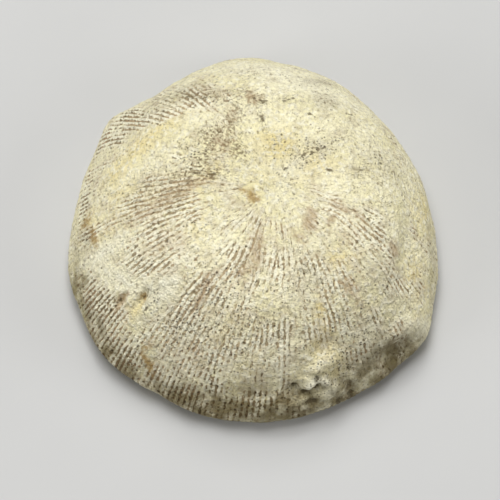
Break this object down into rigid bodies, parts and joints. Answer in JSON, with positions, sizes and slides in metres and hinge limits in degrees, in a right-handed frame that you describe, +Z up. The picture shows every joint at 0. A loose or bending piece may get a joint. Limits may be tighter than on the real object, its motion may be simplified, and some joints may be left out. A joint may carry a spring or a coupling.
{
  "type": "fossil button coral",
  "caption": "Small fossil disc coral: an uneven round dome with fine radiating septa that meet off centre, resting on a flat, slightly hollow base.",
  "frame": {"origin": "on the surface that the coral rests on, under the middle of its outline", "axes": "+Z up out of the dome, +Y along the longer way of the outline, +X across it; the coral's knobbly corner is at +X -Y"},
  "size_m": [0.013, 0.014, 0.005],
  "materials": {
    "fossil": "matt chalky calcite, cream with brown and yellow stains"
  },
  "bodies": {
    "root": {"button_coral": "fossil"}
  },
  "joints": []
}
